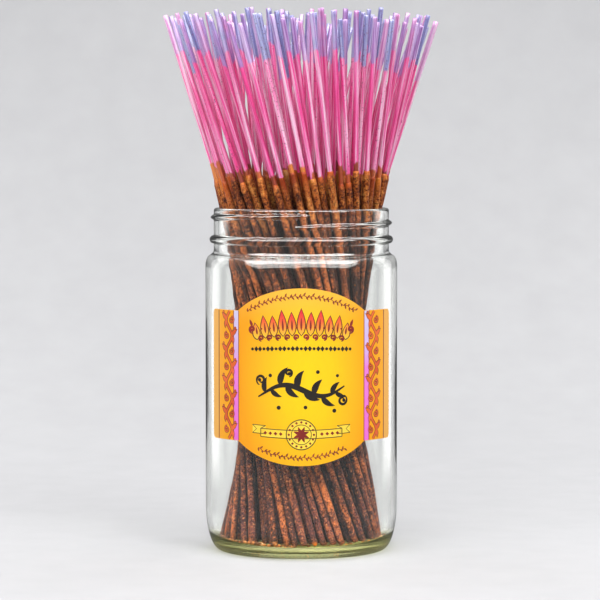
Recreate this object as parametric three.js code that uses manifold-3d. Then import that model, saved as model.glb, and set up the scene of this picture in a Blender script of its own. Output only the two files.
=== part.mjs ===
// A clear glass screw-neck jar that holds a fan of hand-dipped incense sticks.
// A paper label is wrapped round the front of the jar. The jar has no lid.
//
// Units are millimetres and +Z is up. The origin is on the jar's axis, at the plane that it stands on.
// The front of the jar faces -Y. An angle round the jar starts at the front and grows towards +X.

import * as THREE from "three";
import { mergeVertices } from "three/addons/utils/BufferGeometryUtils.js";
import Module from "manifold-3d";

// Jar: a quart size with a straight body, a short shoulder and a wide neck.
const JAR_HEIGHT = 171;
const BODY_RADIUS = 48;
const BODY_WALL = 2.8;
const JAR_SEGMENTS = 48;

// Foot of the jar: a flat ring that it stands on, a push-up inside it, a long rounded heel and a domed floor.
const FOOT_OUTER_RADIUS = 41;
const FOOT_INNER_RADIUS = 37.5;
const PUSH_UP_HEIGHT = 2.4;
const PUSH_UP_EDGE_SHARE = 0.7;
const HEEL_HEIGHT = 22;
const FLOOR_HEIGHT = 6;
const FLOOR_EDGE_HEIGHT = 3.8;
const FLOOR_DOME_STEPS = 4;
const FLOOR_CORNER_RADIUS = 8;

// Shoulder and neck, with the bead below the screw thread and a rounded lip.
const SHOULDER_BOTTOM = 142;
const SHOULDER_ROUND_SHARE = 0.72;
const SHOULDER_ROUND_DEG = 75;
const NECK_BOTTOM = 150;
const NECK_RADIUS = 43.8;
const NECK_WALL = 2.6;
const BEAD_HEIGHT = 155.3;
const BEAD_REACH = 2.1;
const BEAD_HALF_HEIGHT = 2;
const LIP_RADIUS = 1.3;

// Screw thread: a little over one turn, with both ends at the front.
const THREAD_START_HEIGHT = 162.2;
const THREAD_LEAD = 5.45;
const THREAD_START_DEG = -5;
const THREAD_TURN_DEG = 371;
const THREAD_REACH = 1.7;
const THREAD_HALF_HEIGHT = 1.5;
const THREAD_FADE_DEG = 12;
const THREAD_STEP_DEG = 7;
const THREAD_SIDES = 6;
const THREAD_END_SHARE = 0.15;
const THREAD_ROOT = 0.1;

// Label: a straight-sided band with a round-topped and round-bottomed field in its middle.
const LABEL_GAP = 0.32;
const LABEL_THICKNESS = 0.4;
const LABEL_CENTRE_HEIGHT = 90;
const BAND_HALF_HEIGHT = 31.9;
const BAND_HALF_WIDTH = 53.1;
const BAND_CORNER_RADIUS = 2;
const FIELD_HALF_HEIGHT = 43.2;
const FIELD_HALF_WIDTH = 33.1;
const LABEL_STEP = 2.8;

// Incense sticks: a thin bamboo rod, thickly coated from the foot up, with a bare upper end.
const STICK_COUNT = 150;
const TIP_HEIGHT = 267;
const TIP_DROOP = 3.5;
const TIP_SPREAD = 3.6;
const COAT_TOP = 185;
const COAT_TOP_SPREAD = 4;
const COAT_RADIUS = 1.8;
const COAT_RADIUS_SPREAD = 0.2;
const END_RADIUS = 1.28;
const END_RADIUS_SPREAD = 0.1;
const COAT_TAPER = 3;
const STICK_SIDES = 5;

// Layout of the bundle: each stick runs straight from a place near the floor to one high above the mouth.
const FOOT_PLANE = 7;
const HEAD_PLANE = 260;
const FOOT_SPREAD = 40;
const HEAD_SPREAD = 75;
const OUTER_RING_SHARE = 1.05;
const BUNDLE_TWIST_DEG = 104;
const FOOT_JITTER = 3;
const HEAD_JITTER = 8;
const STICK_SPACING = 1.06;
const STICK_CLEARANCE = 0.5;
const SETTLE_ROUNDS = 80;
const SETTLE_SHARE = 0.6;
const SETTLE_HEIGHTS = [7, 25, 45, 65, 85, 105, 125, 148, 171, 190, 215, 240, 260];
const LAYOUT_SEED = 4242;

// Core: what lies behind the outer sticks inside the jar, which nothing shows.
const CORE_FOOT_SPREAD = 38;
const CORE_HEAD_SPREAD = 64;
const CORE_BOTTOM = 8;
const CORE_TOP = 150;
const CORE_SIDES = 18;
const CORE_RINGS = 4;
const CORE_BITE = 5;

const GOLDEN_ANGLE = Math.PI * (3 - Math.sqrt(5));
const TINY = 1e-9;

const wasm = await Module();
wasm.setup();

// A point at an angle round the jar, with the front at angle 0.
function aroundJar(radius, angle, height) {
  return new THREE.Vector3(radius * Math.sin(angle), -radius * Math.cos(angle), height);
}

// Numbers for the layout that look random and are the same on every run.
function randomSource(seed) {
  let state = seed;
  return () => {
    state = (Math.imul(state, 1664525) + 1013904223) >>> 0;
    return state / 2 ** 32;
  };
}

// A closed body through rings of points. Each ring runs counter-clockwise about the way of travel.
function loft(rings) {
  const sides = rings[0].length;
  const faces = [];
  for (let ring = 0; ring + 1 < rings.length; ring++) {
    for (let side = 0; side < sides; side++) {
      const here = ring * sides + side;
      const next = ring * sides + ((side + 1) % sides);
      faces.push(here, next, next + sides, here, next + sides, here + sides);
    }
  }
  const last = (rings.length - 1) * sides;
  for (let side = 1; side + 1 < sides; side++) {
    faces.push(0, side + 1, side);
    faces.push(last, last + side, last + side + 1);
  }
  const geometry = new THREE.BufferGeometry().setFromPoints(rings.flat());
  return geometry.setIndex(faces);
}

function toSolid(geometry) {
  const bare = geometry.clone();
  bare.deleteAttribute("normal");
  bare.deleteAttribute("uv");
  const merged = mergeVertices(bare, 1e-4);
  return new wasm.Manifold(
    new wasm.Mesh({
      numProp: 3,
      vertProperties: merged.attributes.position.array,
      triVerts: new Uint32Array(merged.index.array),
    }),
  );
}

function toGeometry(solid) {
  const mesh = solid.getMesh();
  const positions = new THREE.BufferAttribute(mesh.vertProperties, mesh.numProp);
  const geometry = new THREE.BufferGeometry().setAttribute("position", positions);
  geometry.setIndex(new THREE.BufferAttribute(mesh.triVerts, 1));
  geometry.computeVertexNormals();
  return geometry;
}

// Points of an elliptical arc in the jar's profile, without its first point. Angles are in degrees.
function profileArc([centreOut, centreUp], [reachOut, reachUp], fromDeg, toDeg, steps) {
  const points = [];
  for (let step = 1; step <= steps; step++) {
    const angle = THREE.MathUtils.degToRad(fromDeg + ((toDeg - fromDeg) * step) / steps);
    points.push([centreOut + reachOut * Math.cos(angle), centreUp + reachUp * Math.sin(angle)]);
  }
  return points;
}

// The outside of the jar as [radius, height], from the middle of the push-up to the lip.
function outerProfile() {
  const heelReach = [BODY_RADIUS - FOOT_OUTER_RADIUS, HEEL_HEIGHT];
  const shoulderOut = (BODY_RADIUS - NECK_RADIUS) * SHOULDER_ROUND_SHARE;
  const shoulderReach = [shoulderOut, (NECK_BOTTOM - SHOULDER_BOTTOM) * SHOULDER_ROUND_SHARE];
  const shoulderCentre = [BODY_RADIUS - shoulderOut, SHOULDER_BOTTOM];
  return [
    [0, PUSH_UP_HEIGHT],
    [FOOT_INNER_RADIUS * PUSH_UP_EDGE_SHARE, PUSH_UP_HEIGHT],
    [FOOT_INNER_RADIUS, 0],
    [FOOT_OUTER_RADIUS, 0],
    ...profileArc([FOOT_OUTER_RADIUS, HEEL_HEIGHT], heelReach, -90, 0, 6),
    [BODY_RADIUS, SHOULDER_BOTTOM],
    ...profileArc(shoulderCentre, shoulderReach, 0, SHOULDER_ROUND_DEG, 3),
    [NECK_RADIUS, NECK_BOTTOM],
    [NECK_RADIUS, BEAD_HEIGHT - BEAD_HALF_HEIGHT],
    ...profileArc([NECK_RADIUS, BEAD_HEIGHT], [BEAD_REACH, BEAD_HALF_HEIGHT], -90, 90, 4),
    [NECK_RADIUS, JAR_HEIGHT - LIP_RADIUS],
  ];
}

// The inside of the jar as [radius, height], from the lip down to the middle of the floor.
function innerProfile() {
  const bodyInside = BODY_RADIUS - BODY_WALL;
  const neckInside = NECK_RADIUS - NECK_WALL;
  const shoulderOut = bodyInside - neckInside;
  const shoulderReach = [shoulderOut, (NECK_BOTTOM - SHOULDER_BOTTOM) * SHOULDER_ROUND_SHARE];
  const shoulderCentre = [neckInside, SHOULDER_BOTTOM - 1];
  const cornerCentre = [bodyInside - FLOOR_CORNER_RADIUS, FLOOR_EDGE_HEIGHT + FLOOR_CORNER_RADIUS];
  const dome = [];
  for (let step = FLOOR_DOME_STEPS - 1; step >= 0; step--) {
    const radius = (cornerCentre[0] * step) / FLOOR_DOME_STEPS;
    dome.push([radius, floorAt(radius)]);
  }
  return [
    [neckInside, NECK_BOTTOM],
    ...profileArc(shoulderCentre, shoulderReach, SHOULDER_ROUND_DEG, 0, 3),
    [bodyInside, cornerCentre[1]],
    ...profileArc(cornerCentre, [FLOOR_CORNER_RADIUS, FLOOR_CORNER_RADIUS], 0, -90, 4),
    ...dome,
  ];
}

// The jar's closed profile: outside, rounded lip, inside.
function jarProfile() {
  const lipCentre = [NECK_RADIUS - NECK_WALL / 2, JAR_HEIGHT - LIP_RADIUS];
  const lip = profileArc(lipCentre, [NECK_WALL / 2, LIP_RADIUS], 0, 180, 4);
  return [...outerProfile(), ...lip, ...innerProfile()];
}

// The thread is a rounded ridge that climbs round the neck and fades into the wall at both ends.
function screwThread() {
  const rings = [];
  const steps = Math.round(THREAD_TURN_DEG / THREAD_STEP_DEG);
  for (let step = 0; step <= steps; step++) {
    const turned = (THREAD_TURN_DEG * step) / steps;
    const fromEnd = Math.min(turned, THREAD_TURN_DEG - turned);
    const fade = Math.sin((Math.min(1, fromEnd / THREAD_FADE_DEG) * Math.PI) / 2);
    const size = Math.max(THREAD_END_SHARE, fade);
    const angle = THREE.MathUtils.degToRad(THREAD_START_DEG + turned);
    const height = THREAD_START_HEIGHT + (THREAD_LEAD * turned) / 360;
    const ring = [];
    for (let side = 0; side < THREAD_SIDES; side++) {
      const around = ((side + 0.5) / THREAD_SIDES) * 2 * Math.PI;
      const radius = NECK_RADIUS - THREAD_ROOT + THREAD_REACH * size * Math.sin(around);
      ring.push(aroundJar(radius, angle, height + THREAD_HALF_HEIGHT * size * Math.cos(around)));
    }
    rings.push(ring);
  }
  return loft(rings);
}

function glassJar() {
  const profile = jarProfile().map(([radius, height]) => new THREE.Vector2(radius, height));
  const body = new THREE.LatheGeometry(profile, JAR_SEGMENTS).rotateX(Math.PI / 2);
  return toGeometry(toSolid(body).add(toSolid(screwThread())));
}

// How far the label reaches above and below its middle, at a distance round the jar from its centre line.
function labelHalfHeight(along) {
  const distance = Math.abs(along);
  if (distance < FIELD_HALF_WIDTH) {
    const rise = FIELD_HALF_HEIGHT - BAND_HALF_HEIGHT;
    const arcRadius = (FIELD_HALF_WIDTH ** 2 + rise ** 2) / (2 * rise);
    return FIELD_HALF_HEIGHT - arcRadius + Math.sqrt(arcRadius ** 2 - distance ** 2);
  }
  const intoCorner = Math.max(0, distance - (BAND_HALF_WIDTH - BAND_CORNER_RADIUS));
  const corner = Math.sqrt(Math.max(0, BAND_CORNER_RADIUS ** 2 - intoCorner ** 2));
  return BAND_HALF_HEIGHT - BAND_CORNER_RADIUS + corner;
}

// Places across the label where its outline needs a point: even steps, and finer ones in the corners.
function labelStations() {
  const cornerStart = BAND_HALF_WIDTH - BAND_CORNER_RADIUS;
  const steps = Math.round((2 * cornerStart) / LABEL_STEP);
  const stations = [];
  for (const angle of [0, 30, 60]) {
    stations.push(-cornerStart - BAND_CORNER_RADIUS * Math.cos(THREE.MathUtils.degToRad(angle)));
  }
  for (let step = 0; step <= steps; step++) {
    stations.push(-cornerStart + (2 * cornerStart * step) / steps);
  }
  for (const angle of [60, 30, 0]) {
    stations.push(cornerStart + BAND_CORNER_RADIUS * Math.cos(THREE.MathUtils.degToRad(angle)));
  }
  return stations;
}

function paperLabel() {
  const inner = BODY_RADIUS + LABEL_GAP;
  const outer = inner + LABEL_THICKNESS;
  const rings = labelStations().map((along) => {
    const angle = along / BODY_RADIUS;
    const top = LABEL_CENTRE_HEIGHT + labelHalfHeight(along);
    const bottom = LABEL_CENTRE_HEIGHT - labelHalfHeight(along);
    return [
      aroundJar(inner, angle, top),
      aroundJar(outer, angle, top),
      aroundJar(outer, angle, bottom),
      aroundJar(inner, angle, bottom),
    ];
  });
  return loft(rings);
}

// Where a stick's line crosses a height.
function stickAt(stick, height) {
  const share = (height - FOOT_PLANE) / (HEAD_PLANE - FOOT_PLANE);
  return [
    stick.foot[0] + (stick.head[0] - stick.foot[0]) * share,
    stick.foot[1] + (stick.head[1] - stick.foot[1]) * share,
  ];
}

// The jar's inner radius at a height, less the clearance. Above the lip nothing holds the sticks in.
function roomInJar(height) {
  if (height > JAR_HEIGHT) return Infinity;
  if (height >= SHOULDER_BOTTOM) return NECK_RADIUS - NECK_WALL - STICK_CLEARANCE;
  if (height <= FOOT_PLANE) return BODY_RADIUS - BODY_WALL - FLOOR_CORNER_RADIUS / 2;
  return BODY_RADIUS - BODY_WALL - STICK_CLEARANCE;
}

// How far each of a set of circles has to move so that none of them overlaps another.
function pushesApart(places, sizes) {
  const pushes = places.map(() => [0, 0]);
  for (let a = 0; a < places.length; a++) {
    for (let b = a + 1; b < places.length; b++) {
      const across = [places[a][0] - places[b][0], places[a][1] - places[b][1]];
      const distance = Math.hypot(...across) + TINY;
      const overlap = (sizes[a] + sizes[b]) * STICK_SPACING - distance;
      if (overlap <= 0) continue;
      for (const axis of [0, 1]) {
        const push = (across[axis] / distance) * (overlap / 2) * SETTLE_SHARE;
        pushes[a][axis] += push;
        pushes[b][axis] -= push;
      }
    }
  }
  return pushes;
}

// Moves the sticks at one height: apart where they would cross, and in where they would meet the glass.
function settleAt(sticks, height) {
  const share = (height - FOOT_PLANE) / (HEAD_PLANE - FOOT_PLANE);
  const weight = (1 - share) ** 2 + share ** 2;
  const places = sticks.map((stick) => stickAt(stick, height));
  const sizes = sticks.map((stick) => (height < COAT_TOP ? stick.coat : stick.end));
  const pushes = pushesApart(places, sizes);
  sticks.forEach((stick, index) => {
    const reach = Math.hypot(...places[index]) + TINY;
    const over = Math.max(0, reach + sizes[index] - roomInJar(height));
    for (const axis of [0, 1]) {
      const push = pushes[index][axis] - (places[index][axis] / reach) * over;
      stick.foot[axis] += (push * (1 - share)) / weight;
      stick.head[axis] += (push * share) / weight;
    }
  });
}

// Moves the sticks' upper ends together until the fan spreads evenly to both sides of the jar.
function centreFan(sticks) {
  for (const axis of [0, 1]) {
    const ends = sticks.map((stick) => stick.head[axis]);
    const middle = (Math.min(...ends) + Math.max(...ends)) / 2;
    for (const stick of sticks) stick.head[axis] -= middle;
  }
}

// The height of the inner floor at a radius: a low dome with a rounded corner.
function floorAt(radius) {
  const corner = BODY_RADIUS - BODY_WALL - FLOOR_CORNER_RADIUS;
  const into = Math.min(FLOOR_CORNER_RADIUS, Math.max(0, radius - corner));
  const rise = FLOOR_CORNER_RADIUS - Math.sqrt(FLOOR_CORNER_RADIUS ** 2 - into ** 2);
  const dome = (FLOOR_HEIGHT - FLOOR_EDGE_HEIGHT) * (1 - Math.min(1, radius / corner) ** 2);
  return FLOOR_EDGE_HEIGHT + rise + dome;
}

// Each stick as its two ends and its sizes. The feet follow an even spiral with a full outer ring, and the
// heads the same one, turned. The tips are nearly level, so a stick that leans more is a little longer.
function layOutSticks() {
  const random = randomSource(LAYOUT_SEED);
  const spread = (reach) => (random() * 2 - 1) * reach;
  const twist = THREE.MathUtils.degToRad(BUNDLE_TWIST_DEG);
  const sticks = [];
  for (let index = 0; index < STICK_COUNT; index++) {
    const share = Math.min(1, OUTER_RING_SHARE * Math.sqrt((index + 0.5) / STICK_COUNT));
    const angle = index * GOLDEN_ANGLE;
    const foot = aroundJar(FOOT_SPREAD * share, angle, 0);
    const head = aroundJar(HEAD_SPREAD * share, angle - twist, 0);
    sticks.push({
      foot: [foot.x + spread(FOOT_JITTER), foot.y + spread(FOOT_JITTER)],
      head: [head.x + spread(HEAD_JITTER), head.y + spread(HEAD_JITTER)],
      coat: COAT_RADIUS + spread(COAT_RADIUS_SPREAD),
      end: END_RADIUS + spread(END_RADIUS_SPREAD),
      tip: TIP_HEIGHT - TIP_DROOP * share ** 2 + spread(TIP_SPREAD),
      coatTop: COAT_TOP + spread(COAT_TOP_SPREAD),
    });
  }
  for (let round = 0; round < SETTLE_ROUNDS; round++) {
    for (const height of SETTLE_HEIGHTS) settleAt(sticks, height);
  }
  centreFan(sticks);
  return sticks;
}

// The foot of a stick, standing on the floor, and the direction that it leans in.
function stickLine(stick) {
  const rise = HEAD_PLANE - FOOT_PLANE;
  const along = new THREE.Vector3(stick.head[0] - stick.foot[0], stick.head[1] - stick.foot[1], rise);
  along.normalize();
  const lean = Math.hypot(along.x, along.y);
  const reach = Math.hypot(...stick.foot) + stick.coat;
  const height = floorAt(reach) + STICK_CLEARANCE + stick.coat * lean;
  const [x, y] = stickAt(stick, height);
  return { start: new THREE.Vector3(x, y, height), along };
}

// A stick as a few-sided rod: coated up to a short taper, then thin. It starts at a distance from its foot.
function stickRod(stick, from) {
  const { start, along } = stickLine(stick);
  const coated = (stick.coatTop - start.z) / along.z;
  const length = (stick.tip - start.z) / along.z;
  const across = new THREE.Vector3(0, 1, 0).cross(along).normalize();
  const other = along.clone().cross(across);
  const stations = [
    [from, stick.coat],
    [coated - COAT_TAPER, stick.coat],
    [coated, stick.end],
    [length, stick.end],
  ];
  const rings = stations.map(([distance, radius]) => {
    const centre = start.clone().addScaledVector(along, distance);
    const ring = [];
    for (let side = 0; side < STICK_SIDES; side++) {
      const angle = (side / STICK_SIDES) * 2 * Math.PI;
      const point = centre.clone().addScaledVector(across, radius * Math.cos(angle));
      ring.push(point.addScaledVector(other, radius * Math.sin(angle)));
    }
    return ring;
  });
  return loft(rings);
}

// The core's radius and turn at a height: the same straight lines as the sticks, drawn closer to the axis.
function coreRing(height) {
  const share = (height - FOOT_PLANE) / (HEAD_PLANE - FOOT_PLANE);
  const twist = THREE.MathUtils.degToRad(BUNDLE_TWIST_DEG);
  const ring = [];
  for (let side = 0; side < CORE_SIDES; side++) {
    const angle = (side / CORE_SIDES) * 2 * Math.PI;
    const low = aroundJar(CORE_FOOT_SPREAD, angle, height);
    const high = aroundJar(CORE_HEAD_SPREAD, angle - twist, height);
    ring.push(low.lerp(high, share));
  }
  return ring;
}

function bundleCore() {
  const rings = [];
  for (let ring = 0; ring < CORE_RINGS; ring++) {
    const height = CORE_BOTTOM + ((CORE_TOP - CORE_BOTTOM) * ring) / (CORE_RINGS - 1);
    rings.push(coreRing(height));
  }
  return loft(rings);
}

// True where a stick shows outside the core somewhere inside the jar.
function showsOutsideCore(stick) {
  return SETTLE_HEIGHTS.filter((height) => height <= CORE_TOP).some((height) => {
    const coreReach = Math.hypot(coreRing(height)[0].x, coreRing(height)[0].y);
    const flat = coreReach * Math.cos(Math.PI / CORE_SIDES);
    return Math.hypot(...stickAt(stick, height)) + stick.coat > flat;
  });
}

// The bundle is one body: sticks round the outside from foot to tip, and inner ones from the top of the core.
function incenseBundle() {
  let bundle = toSolid(bundleCore());
  for (const stick of layOutSticks()) {
    const { start, along } = stickLine(stick);
    const hidden = (CORE_TOP - CORE_BITE - start.z) / along.z;
    const from = showsOutsideCore(stick) ? 0 : hidden;
    bundle = bundle.add(toSolid(stickRod(stick, from)));
  }
  return toGeometry(bundle);
}

function part(name, geometry, colour, roughness, extra = {}) {
  const material = new THREE.MeshStandardMaterial({ color: colour, roughness, metalness: 0, ...extra });
  const mesh = new THREE.Mesh(geometry, material);
  mesh.name = name;
  return mesh;
}

const group = new THREE.Group();
group.add(part("glass_jar", glassJar(), 0xdfe8df, 0.05, { transparent: true, opacity: 0.35 }));
group.add(part("paper_label", paperLabel(), 0xffbe28, 0.45));
group.add(part("incense_sticks", incenseBundle(), 0x6b4228, 0.9));

export default group;
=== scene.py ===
import math

import bpy
import numpy as np
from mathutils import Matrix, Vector


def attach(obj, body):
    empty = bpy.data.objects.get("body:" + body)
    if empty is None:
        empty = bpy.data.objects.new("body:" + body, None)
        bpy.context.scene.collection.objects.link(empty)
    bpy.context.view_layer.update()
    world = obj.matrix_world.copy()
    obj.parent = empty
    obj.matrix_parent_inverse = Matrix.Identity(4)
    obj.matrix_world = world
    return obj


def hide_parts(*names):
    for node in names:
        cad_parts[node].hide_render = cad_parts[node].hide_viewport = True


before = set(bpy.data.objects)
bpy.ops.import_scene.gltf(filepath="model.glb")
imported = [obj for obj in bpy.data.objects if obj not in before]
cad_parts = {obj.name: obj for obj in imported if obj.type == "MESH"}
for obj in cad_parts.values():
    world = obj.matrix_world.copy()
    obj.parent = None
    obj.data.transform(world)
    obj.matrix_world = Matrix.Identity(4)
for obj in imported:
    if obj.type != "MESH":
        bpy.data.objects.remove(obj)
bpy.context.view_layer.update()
MM = 0.001

# Jar, as in the part
JAR_HEIGHT = 171
BODY_RADIUS = 48
BODY_WALL = 2.8
FOOT_OUTER_RADIUS = 41
FOOT_INNER_RADIUS = 37.5
FOOT_LIFT = 0.05
PUSH_UP_HEIGHT = 2.4
PUSH_UP_EDGE_SHARE = 0.7
HEEL_HEIGHT = 22
FLOOR_HEIGHT = 6
FLOOR_EDGE_HEIGHT = 3.8
FLOOR_CORNER_RADIUS = 8
SHOULDER_BOTTOM = 142
SHOULDER_ROUND_SHARE = 0.72
SHOULDER_ROUND_DEG = 75
NECK_BOTTOM = 150
NECK_RADIUS = 43.8
NECK_WALL = 2.6
BEAD_HEIGHT = 155.3
BEAD_REACH = 2.1
BEAD_HALF_HEIGHT = 2
LIP_RADIUS = 1.3
THREAD_START_HEIGHT = 162.2
THREAD_LEAD = 5.45
THREAD_START_DEG = -5
THREAD_TURN_DEG = 371
THREAD_REACH = 1.6
THREAD_HALF_HEIGHT = 1.5
THREAD_FADE_DEG = 12
JAR_SEGMENTS = 332
KNURL_DEPTH = 0.55
KNURL_TOP = 1.6
WALL_WAVE = 0.12

# Label, as in the part, but lying close on the glass
LABEL_GAP = 0.05
PAPER_THICKNESS = 0.3
LABEL_CENTRE_HEIGHT = 90
BAND_HALF_HEIGHT = 31.9
BAND_HALF_WIDTH = 53.1
BAND_CORNER_RADIUS = 2
FIELD_HALF_HEIGHT = 43.2
FIELD_HALF_WIDTH = 33.1
LABEL_STEP = 0.6
LABEL_ROWS = 24
INK_LAYER = 0.03

# Sticks and their layout, as in the part
STICK_COUNT = 150
TIP_HEIGHT = 267
TIP_DROOP = 3.5
TIP_SPREAD = 3.6
COAT_TOP = 185
COAT_TOP_SPREAD = 4
COAT_RADIUS = 1.8
COAT_RADIUS_SPREAD = 0.2
END_RADIUS = 1.28
END_RADIUS_SPREAD = 0.1
FOOT_PLANE = 7
HEAD_PLANE = 260
FOOT_SPREAD = 40
HEAD_SPREAD = 75
HEAD_OUTSIDE = 0.93
OUTER_RING_SHARE = 1.05
BUNDLE_TWIST = math.radians(104)
FOOT_JITTER = 3
HEAD_JITTER = 8
STICK_SPACING = 1.06
STICK_CLEARANCE = 0.5
SETTLE_ROUNDS = 80
SETTLE_SHARE = 0.6
JAR_HEIGHTS = (7, 25, 45, 65, 85, 105, 125, 148)
SETTLE_HEIGHTS = (*JAR_HEIGHTS, 171, 190, 215, 240, 260)
LAYOUT_SEED = 4242
GOLDEN_ANGLE = math.pi * (3 - math.sqrt(5))
TINY = 1e-9

# Camera, from the photograph's eye level, scale and framing
CAMERA_DISTANCE = 1365
CAMERA_HEIGHT = 204
CAMERA_SIDE = -0.65
AIM_HEIGHT = 124.8
FRAME_WIDTH = 300.8
SENSOR_WIDTH = 36


# Shader helpers

class Wire:
    """One output of a node in a finish. Arithmetic on it adds Math nodes."""

    def __init__(self, finish, socket):
        self.finish = finish
        self.socket = socket

    def __add__(self, other):
        return self.finish.maths("ADD", self, other)

    __radd__ = __add__

    def __sub__(self, other):
        return self.finish.maths("SUBTRACT", self, other)

    def __rsub__(self, other):
        return self.finish.maths("SUBTRACT", other, self)

    def __mul__(self, other):
        return self.finish.maths("MULTIPLY", self, other)

    __rmul__ = __mul__

    def __truediv__(self, other):
        return self.finish.maths("DIVIDE", self, other)


class Finish:
    """The nodes of a material, or of the room round the studio, while they are put together."""

    def __init__(self, name, owners=bpy.data.materials):
        self.owner = owners.new(name)
        self.owner.use_nodes = True
        self.tree = self.owner.node_tree
        self.tree.nodes.clear()

    def node(self, kind, sockets=None, settings=None, out=0):
        """Adds a node with its sockets' values or wires and its settings, and returns one of its outputs."""
        node = self.tree.nodes.new(kind)
        for name, value in (settings or {}).items():
            setattr(node, name, value)
        for name, value in (sockets or {}).items():
            if isinstance(value, Wire):
                self.tree.links.new(value.socket, node.inputs[name])
            else:
                node.inputs[name].default_value = value
        return Wire(self, node.outputs[out]) if node.outputs else node

    def maths(self, operation, *values):
        return self.node("ShaderNodeMath", dict(enumerate(values)), {"operation": operation})

    def mix(self, share, first, second):
        """A colour between two colours, each a wire or the three parts of a screen colour."""
        ends = [colour if isinstance(colour, Wire) else screen(*colour) for colour in (first, second)]
        return self.node("ShaderNodeMix", {0: share, 6: ends[0], 7: ends[1]}, {"data_type": "RGBA"}, out=2)

    def ramp(self, value, *stops):
        """A colour that follows a value. Each stop is a place on the way from 0 to 1 and a screen colour."""
        colour = self.node("ShaderNodeValToRGB", {0: value})
        elements = colour.socket.node.color_ramp.elements
        while len(elements) < len(stops):
            elements.new(1)
        for element, (position, *parts) in zip(elements, stops):
            element.position = position
            element.color = screen(*parts)
        return colour

    def step(self, value, low, high):
        """0 below low, 1 above high, and smooth between them."""
        settings = {"interpolation_type": "SMOOTHSTEP"}
        return self.node("ShaderNodeMapRange", {0: value, 1: low, 2: high}, settings)

    def noise(self, place, scale, detail=2.0, roughness=0.5):
        sockets = {"Vector": place, "Scale": scale, "Detail": detail, "Roughness": roughness}
        return self.node("ShaderNodeTexNoise", sockets)

    def attributes(self, *names):
        """The values that the mesh keeps under these names."""
        return [self.node("ShaderNodeAttribute", None, {"attribute_name": name}, "Fac") for name in names]

    def ray(self, question):
        return self.node("ShaderNodeLightPath", out=question)

    def place(self):
        """Where a point is on the object, in metres."""
        return self.node("ShaderNodeTexCoord", out="Object")

    def axes(self, vector):
        node = self.node("ShaderNodeSeparateXYZ", {0: vector}).socket.node
        return [Wire(self, socket) for socket in node.outputs]

    def stretch(self, vector, scale):
        return self.node("ShaderNodeVectorMath", {0: vector, 1: scale}, {"operation": "MULTIPLY"})

    def bump(self, height, depth, strength=1.0, under=None):
        """A relief of height 0 to 1 that is depth millimetres deep, on top of another one."""
        sockets = {"Height": height, "Strength": strength, "Distance": depth * MM}
        if under is not None:
            sockets["Normal"] = under
        return self.node("ShaderNodeBump", sockets)

    def shader(self, sockets):
        return self.node("ShaderNodeBsdfPrincipled", sockets)

    def clear(self, colour=(1, 1, 1, 1)):
        return self.node("ShaderNodeBsdfTransparent", {"Color": colour})

    def blend(self, share, first, second):
        """A surface between two surfaces."""
        return self.node("ShaderNodeMixShader", {0: share, 1: first, 2: second})

    def done(self, surface, volume=None):
        sockets = {"Surface": surface}
        if volume is not None:
            sockets["Volume"] = volume
        self.node("ShaderNodeOutputMaterial", sockets)
        return self.owner

    def opaque(self, colour, roughness, relief, specular=0.5):
        """The finished material of a plain opaque surface."""
        return self.done(self.shader({
            "Base Color": colour,
            "Roughness": roughness,
            "Normal": relief,
            "Specular IOR Level": specular,
        }))


def screen(red, green, blue):
    """A screen colour as Blender's linear one."""
    def linear(part):
        part = part / 255
        return part / 12.92 if part <= 0.04045 else ((part + 0.055) / 1.055) ** 2.4
    return (linear(red), linear(green), linear(blue), 1.0)


# Mesh helpers

def around_jar(radius, angle, height):
    return (radius * math.sin(angle), -radius * math.cos(angle), height)


def unit(value):
    """The value, held between 0 and 1."""
    return np.clip(value, 0, 1)


def ring_angles(sides):
    """The angles of the points of a ring."""
    return np.arange(sides) * 2 * math.pi / sides


def around(centre, reach, angle):
    """The point at an angle on a circle."""
    return (centre[0] + reach * math.cos(angle), centre[1] + reach * math.sin(angle))


def new_object(name, data):
    thing = bpy.data.objects.new(name, data)
    bpy.context.scene.collection.objects.link(thing)
    return thing


def make_piece(name, points, faces, materials, node, face_finish=None, smooth=True):
    """A piece made of points in millimetres. It rides on the one body and stands for a node."""
    mesh = bpy.data.meshes.new(name)
    mesh.from_pydata((np.asarray(points, dtype=float) * MM).tolist(), [], faces)
    for material in materials:
        mesh.materials.append(material)
    if face_finish is not None:
        mesh.polygons.foreach_set("material_index", face_finish)
    mesh.polygons.foreach_set("use_smooth", [smooth] * len(mesh.polygons))
    piece = new_object(name, mesh)
    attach(piece, "root")
    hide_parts(node)
    return piece


def store(piece, name, values):
    """Keeps a number or a vector for each point of a piece, for its finish to read."""
    vectors = np.ndim(values) == 2 and np.shape(values)[1] == 3
    kind, key = ("FLOAT_VECTOR", "vector") if vectors else ("FLOAT", "value")
    layer = piece.data.attributes.new(name, kind, "POINT")
    layer.data.foreach_set(key, np.asarray(values, dtype=np.float32).ravel())


def ring_faces(rings, sides, start=0):
    """Faces of a closed tube through rings of points that run counter-clockwise about the way of travel."""
    faces = []
    for ring in range(rings - 1):
        for side in range(sides):
            here = start + ring * sides + side
            beside = start + ring * sides + (side + 1) % sides
            faces.append((here, beside, beside + sides, here + sides))
    last = start + (rings - 1) * sides
    faces.append(tuple(start + side for side in reversed(range(sides))))
    faces.append(tuple(last + side for side in range(sides)))
    return faces


# Glass jar

def arc(centre, reach, from_deg, to_deg, steps):
    """Points of an elliptical arc in the jar's profile, without its first point."""
    angles = np.radians(np.linspace(from_deg, to_deg, steps + 1)[1:])
    return [(centre[0] + reach[0] * math.cos(turn), centre[1] + reach[1] * math.sin(turn)) for turn in angles]


def straight(start, end, step):
    """Points along a straight stretch of the profile, without its first point."""
    steps = max(1, round(math.dist(start, end) / step))
    return [tuple(point) for point in np.linspace(start, end, steps + 1)[1:]]


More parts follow.
